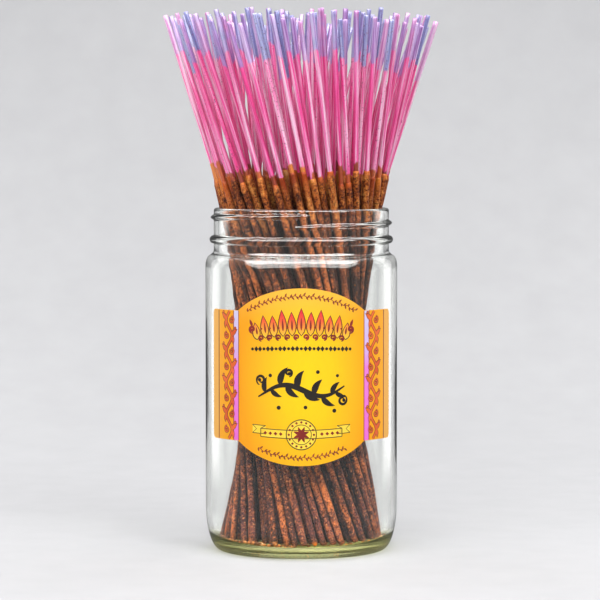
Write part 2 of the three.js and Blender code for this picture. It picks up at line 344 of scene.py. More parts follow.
def outer_profile():
    """The outside from the middle of the push-up to the lip, as radius and height."""
    heel = (BODY_RADIUS - FOOT_OUTER_RADIUS, HEEL_HEIGHT)
    shoulder_out = (BODY_RADIUS - NECK_RADIUS) * SHOULDER_ROUND_SHARE
    shoulder = (shoulder_out, (NECK_BOTTOM - SHOULDER_BOTTOM) * SHOULDER_ROUND_SHARE)
    points = [(0.01, PUSH_UP_HEIGHT)]
    points += straight(points[-1], (FOOT_INNER_RADIUS * PUSH_UP_EDGE_SHARE, PUSH_UP_HEIGHT), 4)
    points += straight(points[-1], (FOOT_INNER_RADIUS - 1, 0.25), 1.5)
    points += [(FOOT_INNER_RADIUS, FOOT_LIFT)]
    points += straight(points[-1], (FOOT_OUTER_RADIUS, FOOT_LIFT), 0.8)
    points += arc((FOOT_OUTER_RADIUS, HEEL_HEIGHT + FOOT_LIFT), heel, -90, 0, 26)
    points += straight(points[-1], (BODY_RADIUS, SHOULDER_BOTTOM), 8)
    points += arc((BODY_RADIUS - shoulder_out, SHOULDER_BOTTOM), shoulder, 0, SHOULDER_ROUND_DEG, 12)
    corner = points[-1]
    for k in range(1, 7):
        share = k / 6
        radius = NECK_RADIUS + (corner[0] - NECK_RADIUS) * (1 - share) ** 2
        points.append((radius, corner[1] + (NECK_BOTTOM - corner[1]) * share))
    points += straight(points[-1], (NECK_RADIUS, JAR_HEIGHT - LIP_RADIUS), 0.3)
    return points


def inner_profile():
    """The inside from the lip down to the middle of the floor."""
    body = BODY_RADIUS - BODY_WALL
    neck = NECK_RADIUS - NECK_WALL
    shoulder = (body - neck, (NECK_BOTTOM - SHOULDER_BOTTOM) * SHOULDER_ROUND_SHARE)
    corner = (body - FLOOR_CORNER_RADIUS, FLOOR_EDGE_HEIGHT + FLOOR_CORNER_RADIUS)
    points = straight((neck, JAR_HEIGHT - LIP_RADIUS), (neck, NECK_BOTTOM), 3)
    points += arc((neck, SHOULDER_BOTTOM - 1), shoulder, 85, 0, 14)
    points += straight(points[-1], (body, corner[1]), 6)
    points += arc(corner, (FLOOR_CORNER_RADIUS, FLOOR_CORNER_RADIUS), 0, -90, 14)
    for share in np.linspace(1, 0, 12)[1:]:
        radius = max(0.01, corner[0] * share)
        points.append((radius, floor_at(radius)))
    return points


def thread_reach(angle_deg, height):
    """How far the screw thread stands out of the neck. Both of its ends pass over the front."""
    reach = np.zeros_like(height)
    for turn in (0, 360):
        turned = angle_deg + turn - THREAD_START_DEG
        from_end = np.minimum(turned, THREAD_TURN_DEG - turned)
        fade = np.sin(unit(from_end / THREAD_FADE_DEG) * math.pi / 2)
        centre = THREAD_START_HEIGHT + THREAD_LEAD * turned / 360
        across = unit(np.abs(height - centre) / (THREAD_HALF_HEIGHT * (0.35 + 0.65 * fade)))
        reach = np.maximum(reach, THREAD_REACH * fade * np.cos(across * math.pi / 2) ** 1.2)
    return reach


def bead_reach(height):
    across = unit(np.abs(height - BEAD_HEIGHT) / BEAD_HALF_HEIGHT)
    return BEAD_REACH * np.sqrt(1 - across ** 2)


def glass_jar():
    outside = outer_profile()
    lip_centre = (NECK_RADIUS - NECK_WALL / 2, JAR_HEIGHT - LIP_RADIUS)
    lip = arc(lip_centre, (NECK_WALL / 2, LIP_RADIUS), 0, 180, 14)
    inside = inner_profile()
    profile = np.array(outside + lip + inside)
    angles = ring_angles(JAR_SEGMENTS)
    radius = np.repeat(profile[:, :1], JAR_SEGMENTS, axis=1)
    height = np.repeat(profile[:, 1:], JAR_SEGMENTS, axis=1)
    degrees = np.degrees(angles)[None, :] + 0 * height
    degrees = np.where(degrees > 360 + THREAD_START_DEG, degrees - 360, degrees)

    on_neck = np.zeros(len(profile), dtype=bool)
    on_neck[:len(outside)] = profile[:len(outside), 1] > NECK_BOTTOM
    relief = np.maximum(thread_reach(degrees, height), bead_reach(height))
    radius = radius + np.where(on_neck[:, None], relief, 0)

    inner = np.zeros(len(profile), dtype=bool)
    inner[len(outside) + len(lip):] = True
    wave = np.sin(3 * angles[None, :] + height / 17) + 0.6 * np.sin(7 * angles[None, :] - height / 29 + 1.3)
    fade = unit((NECK_BOTTOM - height) / 20) * unit((height - FLOOR_HEIGHT) / 12)
    radius = radius + np.where(inner[:, None], WALL_WAVE * wave * fade, 0)

    knurled = (height < KNURL_TOP) & (radius > FOOT_INNER_RADIUS - 0.6) & ~inner[:, None]
    odd = np.arange(JAR_SEGMENTS)[None, :] % 2
    height = height + np.where(knurled, KNURL_DEPTH * odd, 0)
    points = np.stack([radius * np.sin(angles), -radius * np.cos(angles), height], axis=2).reshape(-1, 3)
    faces = ring_faces(len(profile), JAR_SEGMENTS)
    make_piece("glass_jar_body", points, faces, [clear_glass()], "glass_jar")


def clear_glass():
    """Clear soda-lime glass, greenish where it is thick, with a frosted foot."""
    glass = Finish("clear jar glass")
    place = glass.place()
    height = glass.axes(place)[2]
    ripple = glass.noise(glass.stretch(place, (1.0, 1.0, 0.35)), 34.0, 1.0)
    foot = 1 - glass.step(height, 0.0004, 0.0024)
    pebbles = glass.noise(place, 700.0)
    thick = 1 - glass.step(height, 0.003, 0.014)
    relief = glass.bump(ripple, 0.05, 0.25)
    relief = glass.bump(pebbles * foot, 0.2, 0.8, under=relief)
    body = glass.shader({
        "Base Color": glass.mix(thick, (252, 253, 252), (242, 240, 190)),
        "Roughness": foot * 0.1,
        "IOR": 1.5,
        "Transmission Weight": 1.0,
        "Normal": relief,
    })
    frost = glass.node("ShaderNodeBsdfDiffuse", {"Color": screen(204, 202, 152)})
    frosted = (1 - glass.step(height, 0.0024, 0.0042)) * pebbles * 0.36
    body = glass.blend(frosted, body, frost)
    surface = glass.blend(glass.ray("Is Shadow Ray"), body, glass.clear((0.97, 0.985, 0.96, 1.0)))
    tint = glass.node("ShaderNodeVolumeAbsorption", {"Color": (0.80, 0.87, 0.42, 1.0), "Density": 7.0})
    return glass.done(surface, tint)


# Layout of the sticks

class RandomSource:
    """Numbers that look random and are the same on every run."""

    def __init__(self, seed):
        self.state = seed

    def __call__(self):
        self.state = (self.state * 1664525 + 1013904223) % 2 ** 32
        return self.state / 2 ** 32

    def spread(self, reach):
        return (self() * 2 - 1) * reach

    def between(self, low, high):
        return low + (high - low) * self()


def room_in_jar(height):
    """How far from the jar's axis a stick can reach at a height."""
    if height > JAR_HEIGHT:
        return math.inf
    if height >= SHOULDER_BOTTOM:
        return NECK_RADIUS - NECK_WALL - STICK_CLEARANCE
    if height <= FOOT_PLANE:
        return BODY_RADIUS - BODY_WALL - FLOOR_CORNER_RADIUS / 2
    return BODY_RADIUS - BODY_WALL - STICK_CLEARANCE


def share_of_way(height):
    """How far up a height is, from 0 at the feet's plane to 1 at the heads' plane."""
    return (height - FOOT_PLANE) / (HEAD_PLANE - FOOT_PLANE)


def settle_at(feet, heads, coats, ends, height):
    """Moves the sticks apart where they would cross at a height, and in where they would meet the glass."""
    share = share_of_way(height)
    weight = (1 - share) ** 2 + share ** 2
    places = feet + (heads - feet) * share
    sizes = coats if height < COAT_TOP else ends
    across = places[:, None] - places[None]
    distance = np.hypot(across[..., 0], across[..., 1]) + TINY
    overlap = np.maximum((sizes[:, None] + sizes[None]) * STICK_SPACING - distance, 0)
    np.fill_diagonal(overlap, 0)
    push = (across / distance[..., None] * (overlap / 2 * SETTLE_SHARE)[..., None]).sum(axis=1)
    reach = np.hypot(places[:, 0], places[:, 1]) + TINY
    over = np.maximum(reach + sizes - room_in_jar(height), 0)
    push -= places / reach[:, None] * over[:, None]
    feet += push * (1 - share) / weight
    heads += push * share / weight


def floor_at(radius):
    """The height of the jar's inner floor, which is a low dome with a round corner."""
    corner = BODY_RADIUS - BODY_WALL - FLOOR_CORNER_RADIUS
    into = min(FLOOR_CORNER_RADIUS, max(0, radius - corner))
    rise = FLOOR_CORNER_RADIUS - math.sqrt(FLOOR_CORNER_RADIUS ** 2 - into ** 2)
    dome = (FLOOR_HEIGHT - FLOOR_EDGE_HEIGHT) * (1 - min(1, radius / corner) ** 2)
    return FLOOR_EDGE_HEIGHT + rise + dome


class Stick:
    """One stick: where its foot stands, the way it leans, and its sizes."""

    def __init__(self, number, foot, head, coat, end, tip, coat_top):
        self.number = number
        self.coat = coat
        self.end = end
        self.along = Vector((*(head - foot), HEAD_PLANE - FOOT_PLANE)).normalized()
        reach = math.hypot(*foot) + coat
        height = floor_at(reach) + STICK_CLEARANCE + coat * math.hypot(self.along.x, self.along.y)
        self.start = Vector((*(foot + (head - foot) * share_of_way(height)), height))
        self.length = (tip - height) / self.along.z
        self.coated = (coat_top - height) / self.along.z
        self.across = Vector((0, 1, 0)).cross(self.along).normalized()
        self.other = self.along.cross(self.across)
        self.outmost = max(self.reach_share(height) for height in JAR_HEIGHTS)

    def reach_share(self, height):
        """How near the outside of the bundle the stick is at a height, where 1 is the outside."""
        point = self.start + self.along * ((height - self.start.z) / self.along.z)
        share = share_of_way(height)
        low = FOOT_SPREAD * (1 - share)
        high = HEAD_SPREAD * HEAD_OUTSIDE * share
        outside = math.hypot(low + high * math.cos(BUNDLE_TWIST), high * math.sin(BUNDLE_TWIST))
        return math.hypot(point.x, point.y) / outside


def lay_out_sticks():
    """The same sticks as in the part, each in its place."""
    random = RandomSource(LAYOUT_SEED)
    feet, heads, sizes = [], [], []
    for index in range(STICK_COUNT):
        share = min(1, OUTER_RING_SHARE * math.sqrt((index + 0.5) / STICK_COUNT))
        angle = index * GOLDEN_ANGLE
        foot = around_jar(FOOT_SPREAD * share, angle, 0)
        head = around_jar(HEAD_SPREAD * share, angle - BUNDLE_TWIST, 0)
        feet.append([foot[0] + random.spread(FOOT_JITTER), foot[1] + random.spread(FOOT_JITTER)])
        heads.append([head[0] + random.spread(HEAD_JITTER), head[1] + random.spread(HEAD_JITTER)])
        sizes.append([
            COAT_RADIUS + random.spread(COAT_RADIUS_SPREAD),
            END_RADIUS + random.spread(END_RADIUS_SPREAD),
            TIP_HEIGHT - TIP_DROOP * share ** 2 + random.spread(TIP_SPREAD),
            COAT_TOP + random.spread(COAT_TOP_SPREAD),
        ])
    feet, heads, sizes = np.array(feet), np.array(heads), np.array(sizes)
    for _ in range(SETTLE_ROUNDS):
        for height in SETTLE_HEIGHTS:
            settle_at(feet, heads, sizes[:, 0], sizes[:, 1], height)
    heads -= (heads.min(axis=0) + heads.max(axis=0)) / 2
    return [Stick(k, feet[k], heads[k], *sizes[k]) for k in range(STICK_COUNT)]


# Sticks

COAT_SIDES = 10
END_SIDES = 8
OUTER_SHARE = 0.84
COAT_STEP = 1.7
INNER_COAT_STEP = 4.0
END_STEP = 2.4
COAT_OVERRUN = 1.5
COAT_FOOT = 0.9
LUMP = 0.07
LUMP_STEP = 5.5
FINE_LUMP = 0.03
FINE_LUMP_STEP = 1.9
SHORT_THINNING = (3, 6)
LONG_THINNING = (12, 26)
SHORT_THINNING_SHARE = 0.6
OVAL = 0.045
KNOB = 0.028
CHIPPED_FEET = 2
CHIP_LENGTH = 1.8
# Painted shade on the sticks: the height above which it weakens, and its strength where a stick faces into
# the bundle and where it stands deep inside it
PAINTED_SHADE_TOP = 160
COAT_PAINTED_SHADE = (0.93, 0.95)
END_PAINTED_SHADE = (0.32, 0.15)
END_SIZE = 0.937
END_WANDER = 0.035
LAVENDER_LENGTH = 21
DEEP_DIP = (6, 16)
DEEP_DIP_SHARE = 0.12
PINK_END = 78
DRIP_LENGTH = (5, 12)
DRIP_SHARE = 0.16
STREAK_STRETCH = 0.022


def smooth_noise(random, length, step):
    """A function of the distance along a stick that wanders between -1 and 1."""
    knots = np.array([random.spread(1) for _ in range(int(length / step) + 3)])

    def value(distance):
        place = np.clip(np.asarray(distance, dtype=float) / step, 0, len(knots) - 2)
        whole = np.floor(place).astype(int)
        share = place - whole
        ease = share * share * (3 - 2 * share)
        return knots[whole] * (1 - ease) + knots[whole + 1] * ease

    return value


def tube_points(stick, distances, radii, sides):
    """Rings round a stick. radii has one value for each ring and side."""
    angles = ring_angles(sides)
    centres = np.array(stick.start)[None] + np.outer(distances, stick.along)
    spokes = np.outer(np.cos(angles), stick.across) + np.outer(np.sin(angles), stick.other)
    return centres[:, None] + radii[:, :, None] * spokes[None]


class Bundle:
    """Gathers the same piece of many sticks into one mesh."""

    def __init__(self):
        self.points = []
        self.faces = []
        self.values = {}
        self.count = 0

    def add(self, points, **values):
        rings, sides = points.shape[:2]
        self.faces += ring_faces(rings, sides, self.count)
        self.points.append(points.reshape(-1, 3))
        for name, value in values.items():
            full = np.broadcast_to(value, (rings, sides) + np.shape(value)[2:])
            self.values.setdefault(name, []).append(full.reshape(rings * sides, -1))
        self.count += rings * sides

    def piece(self, name, material):
        points = np.concatenate(self.points)
        piece = make_piece(name, points, self.faces, [material], "incense_sticks")
        for key, parts in self.values.items():
            store(piece, key, np.concatenate(parts))


def coat_of(stick, step, random, chipped):
    """The coated stretch of a stick: lumpy, rounded at its foot, thinning out where the dyed end begins."""
    top = stick.coated + COAT_OVERRUN
    distances = np.concatenate([[0, 0.35, COAT_FOOT], np.arange(COAT_FOOT + step, top - 0.4, step), [top]])
    lump = smooth_noise(random, top, LUMP_STEP)
    fine = smooth_noise(random, top, FINE_LUMP_STEP)
    thinning = random.between(*(SHORT_THINNING if random() < SHORT_THINNING_SHARE else LONG_THINNING))
    thin = unit((top - distances) / thinning)
    size = stick.end + (stick.coat * 0.98 - stick.end) * np.sin(thin * math.pi / 2) ** 0.8
    lumps = LUMP * lump(distances) + FINE_LUMP * fine(distances)
    size = size * (1 + lumps * np.minimum(thin + 0.15, 1))
    foot = np.sqrt(np.clip(1 - (1 - unit(distances / COAT_FOOT)) ** 2, 0.3, 1))
    bare = 1 - unit((top - distances - thinning * 0.15) / (thinning * 0.5))
    if chipped:
        ragged = unit((distances - CHIP_LENGTH) / 0.8)
        size = stick.end * 1.05 + (size - stick.end * 1.05) * ragged
        bare = np.maximum(bare, 1 - ragged)
    angles = ring_angles(COAT_SIDES)
    turn = random.between(0, 2 * math.pi)
    oval = 1 + OVAL * np.cos(2 * angles[None] + turn + distances[:, None] / 21)
    knobs = np.array([[random.spread(KNOB) for _ in angles] for _ in distances])
    radii = np.minimum((size * foot)[:, None] * oval * (1 + knobs), stick.coat * 1.06)
    points = tube_points(stick, distances, radii, COAT_SIDES)
    # Painted shade, weaker above the neck where the sticks stand in the open
    above = unit((points[..., 2] - PAINTED_SHADE_TOP) / 20)
    crevice = painted_shade_of(stick, points, *COAT_PAINTED_SHADE) * (1 - 0.55 * above)
    return points, {"along": distances[:, None], "bare": bare[:, None], "crevice": crevice}


def painted_shade_of(stick, points, turned_share, inner_share):
    """Painted shade at each point, from 0 to 1: more where it faces into the bundle, and where other sticks
    stand before it.
    """
    centres = points.mean(axis=1, keepdims=True)
    normals = points - centres
    normals /= np.linalg.norm(normals, axis=2, keepdims=True)
    outwards = centres[..., :2] / (np.linalg.norm(centres[..., :2], axis=2, keepdims=True) + TINY)
    facing = (normals[..., :2] * outwards).sum(axis=2)
    turned = unit((0.72 - facing) / 0.8)
    share = np.array([stick.reach_share(height) for height in centres[:, 0, 2]])
    inner = unit((0.94 - share) / 0.22)[:, None]
    return 1 - (1 - turned_share * turned) * (1 - inner_share * inner)


def add_coats(sticks):
    random = RandomSource(5150)
    outer, inner = Bundle(), Bundle()
    front = sorted((stick for stick in sticks if stick.start.y < -30), key=lambda stick: stick.start.x)
    chipped = {stick.number for stick in front[2::max(1, len(front) // CHIPPED_FEET)]}
    for stick in sticks:
        shows = stick.outmost > OUTER_SHARE
        step = COAT_STEP if shows else INNER_COAT_STEP
        points, values = coat_of(stick, step, random, stick.number in chipped)
        bundle = outer if shows else inner
        bundle.add(points, tone=random(), warmth=random(), **values)
    coat = incense_coat()
    outer.piece("outer_incense_coats", coat)
    inner.piece("inner_incense_coats", coat)


def incense_coat():
    """Sawdust and gum on bamboo, soaked with oil: dark, peppered with grains, more golden above the jar, with
    painted shade where a stick faces into the bundle or stands deep inside it.
    """
    coat = Finish("grainy incense coat")
    place = coat.place()
    along, tone, warmth, bare, crevice = coat.attributes("along", "tone", "warmth", "bare", "crevice")
    patches = coat.noise(place, 130.0)
    mottle = coat.noise(place, 620.0, 4.0, 0.75)
    pepper = coat.noise(place, 1150.0, 2.0, 0.6)
    grains = coat.node("ShaderNodeTexVoronoi", {"Vector": place, "Scale": 1300.0})

    depth = (mottle - 0.5) * 2.4 + (patches - 0.5) * 1.2 + (tone - 0.5) * 0.5 + 0.55
    brown = coat.ramp(depth, (0.0, 20, 7, 4), (0.3, 56, 22, 9), (0.6, 110, 50, 20), (1.0, 190, 100, 42))
    purple = coat.step(coat.noise(place, 60.0, 1.0), 0.42, 0.6) * coat.step(along, 70.0, 5.0)
    brown = coat.mix(purple * 0.4, brown, (96, 48, 50))
    golden = coat.ramp(depth * 0.8 + warmth * 0.2,
                       (0.1, 50, 16, 5), (0.35, 122, 52, 16), (0.6, 206, 106, 38), (0.95, 250, 172, 84))
    upper = coat.step(along, 158.0, 180.0)
    brown = coat.mix(upper * (0.6 + warmth * 0.35), brown, golden)
    stained = coat.ramp(warmth * 0.75 + patches * 0.35,
                        (0.1, 124, 36, 22), (0.45, 188, 78, 22), (0.75, 226, 122, 36), (1.0, 210, 146, 66))
    colour = coat.mix(bare, brown, stained)
    speck = coat.step(pepper, 0.61, 0.68) * (1 - bare * 0.8)
    colour = coat.mix(speck * 0.7, colour, coat.mix(tone, (206, 120, 48), (214, 150, 96)))
    dark = coat.step(pepper, 0.46, 0.38) * (1 - bare * 0.7)
    colour = coat.mix(dark * 0.8, colour, (34, 16, 10))
    # Painted shade: near black where the stick faces into the bundle or stands deep inside it
    colour = coat.mix(crevice, colour, (9, 4, 3))

    relief = coat.bump(mottle * (1 - bare * 0.8), 0.7, 0.9)
    relief = coat.bump(grains * (1 - bare * 0.85), 0.3, 0.9, under=relief)
    return coat.opaque(colour, 0.8 - bare * 0.35, relief, 0.15)


def end_of(stick, random):
    """The bare upper end of a stick, cut square at its tip, with what its finish reads."""
    start = stick.coated - 2
    rings = np.arange(start, stick.length - 1.2, END_STEP)
    distances = np.concatenate([rings, [stick.length - 0.18, stick.length]])
    wander = smooth_noise(random, stick.length, 14)
    size = stick.end * (END_SIZE + END_WANDER * wander(distances))
    size[-1] *= 0.84
    angles = ring_angles(END_SIDES)
    turn = random.between(0, 2 * math.pi)
    flats = 1 + 0.05 * np.cos(4 * angles + turn) + 0.04 * np.cos(2 * angles + turn * 1.7)
    radii = np.minimum(size[:, None] * flats[None], stick.end * 0.96)
    points = tube_points(stick, distances, radii, END_SIDES)

    from_tip = (stick.length - distances)[:, None]
    tilt = random.spread(1.4)
    lavender_edge = LAVENDER_LENGTH + random.spread(4.5) + tilt * np.cos(angles + turn)[None]
    if random() < DEEP_DIP_SHARE:
        lavender_edge = lavender_edge + random.between(*DEEP_DIP)
    pink_edge = PINK_END + random.spread(3) + random.spread(1.6) * np.cos(angles - turn)[None]
    if random() < DRIP_SHARE:
        drip = unit(np.cos(angles - random.between(0, 2 * math.pi)))[None] ** 3
        pink_edge = pink_edge + random.between(*DRIP_LENGTH) * drip
    lengthwise = from_tip * STREAK_STRETCH + stick.number * 3.7
    grain = np.broadcast_arrays(np.cos(angles)[None], np.sin(angles)[None], lengthwise)
    return points, {
        "to_lavender": lavender_edge - from_tip,
        "to_pink": pink_edge - from_tip,
        "grain": np.stack(grain, axis=2),
        # Painted shade for the end, weaker than on the coats
        "crevice": painted_shade_of(stick, points, *END_PAINTED_SHADE),
    }


def add_ends(sticks):
    random = RandomSource(90210)
    ends = Bundle()
    for stick in sticks:
        points, values = end_of(stick, random)
        ends.add(points, tone=random(), hue=random(), **values)
    ends.piece("dyed_stick_ends", dyed_bamboo())


def dyed_bamboo():
    """Bamboo dipped twice: pink, then lavender at the tip, with pale streaks that are partly where the dye
    took less and partly painted highlights, and with painted shade where the end faces into the bundle.
    """
    wood = Finish("dyed bamboo")
    place = wood.place()
    grain = wood.node("ShaderNodeAttribute", None, {"attribute_name": "grain"}, "Vector")
    tone, hue, crevice = wood.attributes("tone", "hue", "crevice")
    to_pink, to_lavender = wood.attributes("to_pink", "to_lavender")
    # Pale streaks along each stick: partly where the dye took less, partly painted highlights
    streaks = wood.noise(grain, 1.3)
    fibres = wood.noise(wood.stretch(grain, (1.0, 1.0, 0.35)), 7.0, 2.0, 0.6)
    specks = wood.noise(place, 1150.0, 2.0, 0.6)
    blots = wood.noise(place, 160.0)

    # Where the pale streaks run, these ramps reach their palest stops: partly dye that took less, partly
    # painted highlight
    dye_take_and_highlight = streaks * 1.7 + fibres * 0.6 + tone * 0.3 - 0.69
    pink = wood.ramp(dye_take_and_highlight,
                     (0.1, 220, 24, 112), (0.4, 250, 68, 156), (0.62, 254, 124, 188), (0.85, 255, 206, 232))
    lilac = wood.ramp(dye_take_and_highlight, (0.15, 124, 84, 156), (0.5, 180, 138, 208), (0.85, 226, 200, 246))
    blue = wood.ramp(dye_take_and_highlight, (0.15, 72, 88, 150), (0.5, 122, 140, 200), (0.85, 190, 200, 240))
    rose = wood.ramp(dye_take_and_highlight, (0.15, 170, 84, 150), (0.5, 214, 136, 198), (0.85, 244, 196, 234))
    lavender = wood.mix(wood.step(hue + blots * 0.5, 0.76, 1.08), lilac, blue)
    lavender = wood.mix(wood.step(hue + blots * 0.5, 0.56, 0.36), lavender, rose)
    stained = wood.ramp(tone * 0.6 + fibres * 0.4,
                        (0.2, 146, 48, 22), (0.5, 204, 88, 22), (0.8, 234, 136, 44))
    wobble = (fibres - 0.5) * 3.0 + (blots - 0.5) * 2.0
    in_pink = wood.step(to_pink + wobble, -0.5, 0.5)
    in_lavender = wood.step(to_lavender + wobble, -0.45, 0.45)
    colour = wood.mix(in_pink, stained, pink)
    colour = wood.mix(in_lavender * 0.94, colour, lavender)
    pitted = wood.step(specks, 0.58, 0.68) * (0.15 + wood.step(hue, 0.6, 0.95) * 0.6)
    colour = wood.mix(pitted, colour, (120, 26, 66))
    # Painted shade colours, dark brown, deep magenta and dark purple, mixed in where the end faces into the
    # bundle or stands behind other sticks
    deep = wood.mix(in_pink, (60, 18, 8), (112, 6, 52))
    deep = wood.mix(in_lavender, deep, (58, 40, 88))
    colour = wood.mix(crevice, colour, deep)
    return wood.opaque(colour, 0.3 + streaks * 0.2, wood.bump(fibres, 0.12, 0.6), 0.9)


# Crumbs

CRUMB_COUNT = 560
DRIFT_SHARE = 0.3
DRIFT_REACH = (39.5, 43)
DRIFT_SIDES = (-1.25, -0.05)
CRUMB_SPREAD = 42.5
CRUMB_SIZE = (0.3, 0.95)
CRUMB_CORNERS = 5
CRUMB_LEVELS = ((-0.7, 0.55), (-0.1, 1.0), (0.4, 0.9), (0.8, 0.4))


def add_crumbs():
    """Bits of coat that have fallen to the floor of the jar."""
    random = RandomSource(777)
    points, faces, tones = [], [], []
    for _ in range(CRUMB_COUNT):
        size = random.between(*CRUMB_SIZE)
        reach = CRUMB_SPREAD * random() ** 0.35
        angle = random.between(0, 2 * math.pi)
        if random() < DRIFT_SHARE:
            reach = random.between(*DRIFT_REACH)
            angle = random.between(*DRIFT_SIDES)
        centre = around_jar(reach, angle, floor_at(reach + size) + size * 0.75)
        faces += ring_faces(len(CRUMB_LEVELS), CRUMB_CORNERS, len(points))
        tone = random()
        for level, girth in CRUMB_LEVELS:
            for corner in range(CRUMB_CORNERS):
                turn = 2 * math.pi * (corner + random.spread(0.22)) / CRUMB_CORNERS
                out = size * girth * random.between(0.75, 1.15)
                points.append((
                    centre[0] + out * math.cos(turn),
                    centre[1] + out * math.sin(turn),
                    centre[2] + size * (level + random.spread(0.08)),
                ))
                tones.append(tone)
    finishes = [crumb_finish()]
    piece = make_piece("fallen_crumbs", points, faces, finishes, "incense_sticks", smooth=False)
    store(piece, "tone", tones)


def crumb_finish():
    crumb = Finish("incense crumbs")
    [tone] = crumb.attributes("tone")
    mottle = crumb.noise(crumb.place(), 900.0)
    colour = crumb.ramp(tone * 0.7 + mottle * 0.3,
                        (0.1, 58, 28, 16), (0.45, 124, 66, 32), (0.75, 196, 118, 56), (0.95, 226, 206, 176))
    return crumb.opaque(colour, 0.8, crumb.bump(mottle, 0.2, 0.7))


# Paper label

PAPER_INSIDE = BODY_RADIUS + LABEL_GAP
PAPER_OUTSIDE = PAPER_INSIDE + PAPER_THICKNESS
FIELD_RISE = FIELD_HALF_HEIGHT - BAND_HALF_HEIGHT
FIELD_ARC_RADIUS = (FIELD_HALF_WIDTH ** 2 + FIELD_RISE ** 2) / (2 * FIELD_RISE)


def on_label(along, height, radius):
    """A point of the label, from its distance along the paper and its height."""
    return around_jar(radius, along / BODY_RADIUS, height)


def label_half_height(along):
    """The label is a band with round corners and a bowed field over its middle."""
    distance = abs(along)
    if distance < FIELD_HALF_WIDTH:
        return FIELD_HALF_HEIGHT - FIELD_ARC_RADIUS + math.sqrt(FIELD_ARC_RADIUS ** 2 - distance ** 2)
    into_corner = max(0, distance - (BAND_HALF_WIDTH - BAND_CORNER_RADIUS))
    corner = math.sqrt(max(0, BAND_CORNER_RADIUS ** 2 - into_corner ** 2))
    return BAND_HALF_HEIGHT - BAND_CORNER_RADIUS + corner


def paper_label():
    stations = list(np.arange(-BAND_HALF_WIDTH, BAND_HALF_WIDTH + LABEL_STEP / 2, LABEL_STEP))
    stations[-1] = BAND_HALF_WIDTH
    points, across = [], []
    for along in stations:
        half = label_half_height(along)
        loop = [(PAPER_OUTSIDE, LABEL_CENTRE_HEIGHT + half * (1 - 2 * row / LABEL_ROWS))
                for row in range(LABEL_ROWS + 1)]
        loop += [(PAPER_INSIDE, LABEL_CENTRE_HEIGHT - half), (PAPER_INSIDE, LABEL_CENTRE_HEIGHT + half)]
        points += [on_label(along, height, radius) for radius, height in loop]
        across += [along] * len(loop)
    sides = LABEL_ROWS + 3
    faces = ring_faces(len(stations), sides)
    glued = [int(number % sides == LABEL_ROWS + 1) for number in range(len(faces) - 2)]
    finishes = [printed_paper(), paper_back()]
    piece = make_piece("label_sheet", points, faces, finishes, "paper_label",
                       glued + [0, 0], smooth=False)
    store(piece, "across", across)


def printed_paper():
    """Satin paper with a printed ground that is yellow in its middle and orange towards its sides."""
    paper = Finish("printed label paper")
    place = paper.place()
    [across] = paper.attributes("across")
    height = (paper.axes(place)[2] / MM - LABEL_CENTRE_HEIGHT) / FIELD_HALF_HEIGHT
    side = paper.maths("ABSOLUTE", across / FIELD_HALF_WIDTH)
    middle = paper.maths("ABSOLUTE", (across - 3) / FIELD_HALF_WIDTH)
    off = paper.maths("SQRT", middle * middle + height * height * 0.55)
    field = paper.ramp(off * 0.9,
                       (0.0, 254, 210, 8), (0.35, 253, 202, 12), (0.65, 251, 184, 20), (0.95, 249, 164, 18))
    colour = paper.mix(paper.step(height, 0.55, 1.0) * 0.5, field, (252, 196, 84))
    colour = paper.mix(paper.step(side, 1.0, 1.02), colour, (247, 168, 16))
    colour = paper.mix(paper.step(side, 1.425, 1.435), colour, (234, 172, 74))
    fibres = paper.noise(paper.stretch(place, (1.0, 1.0, 0.4)), 900.0)
    colour = paper.mix(fibres * 0.10, colour, (214, 140, 30))
    return paper.opaque(colour, 0.42 + fibres * 0.16, paper.bump(fibres, 0.04, 0.5), 0.2)


def paper_back():
    """The glued side of the paper, which shows through the glass."""
    back = Finish("glued paper back")
    mottle = back.noise(back.place(), 160.0, 3.0)
    colour = back.mix(mottle, (236, 230, 214), (214, 206, 186))
    return back.opaque(colour, 0.7, back.bump(mottle, 0.05, 0.4))


# Print

STRIPE_INNER = 33.15
STRIPE_OUTER = 35.9
BAND_INNER = 36.5
BAND_OUTER = 44.4
RULE_PLACE = 47.2
STEM_PERIOD = 15.4
STEM_SWAY = 1.9
VINE_PERIOD = 4.4
VINE_INSET = 3.9
UPPER_VINE_REACH = 27.5
LOWER_VINE_REACH = 21.5
GARLAND_FOOT = 109.5
PETALS_EACH_SIDE = 5
PETAL_SPACING = 4.4
PETAL_BREADTH = 3.5
PETAL_HEIGHT = 12.6
PETAL_FALL = 3.4
ODD_PETAL_SHORTER = 1.6
LOZENGE_ROW = 103.4
LOZENGES_EACH_SIDE = 12
LOZENGE_SPACING = 2.05
SPRIG_MIDDLE = 83.5
SPRIG_REACH = 21.5
SPRIG_STEPS = 45
RIBBON_MIDDLE = 62.7
SEAL_RADIUS = 7.3
SEAL_BEADS = 16
RIBBON_REACH = 20.2
RIBBON_FOLD = 2.6
RIBBON_TAIL = 4.4
RIBBON_HALF = 2.0
INK_ROUGHNESS = 0.36


